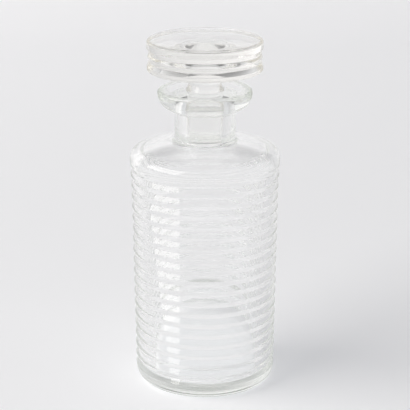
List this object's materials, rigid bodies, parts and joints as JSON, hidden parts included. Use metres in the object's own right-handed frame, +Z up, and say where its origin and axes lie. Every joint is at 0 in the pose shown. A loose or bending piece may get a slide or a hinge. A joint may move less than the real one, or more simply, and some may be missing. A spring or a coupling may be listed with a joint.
{
  "type": "decanter",
  "caption": "Clear glass spirits decanter: ringed cylindrical bottle with domed shoulder and flared lip, closed by a wide ringed glass stopper that lifts out.",
  "frame": {"origin": "middle of the ring that the bottle stands on", "axes": "+Z up along the axis of the bottle and the stopper; the pieces are solids of revolution, so X and Y are free"},
  "size_m": [0.0958, 0.0958, 0.2263],
  "materials": {
    "bottle_glass": "clear colourless pressed glass, fire polished",
    "stopper_glass": "clear colourless solid glass, polished, with a ground plug"
  },
  "bodies": {
    "bottle": {"bottle": "bottle_glass"},
    "stopper": {"stopper": "stopper_glass"}
  },
  "joints": [
    {"name": "stopper_lift", "type": "slide", "parent": "bottle", "child": "stopper", "axis": [0, 0, 1], "range_m": [0, 0.05]}
  ]
}
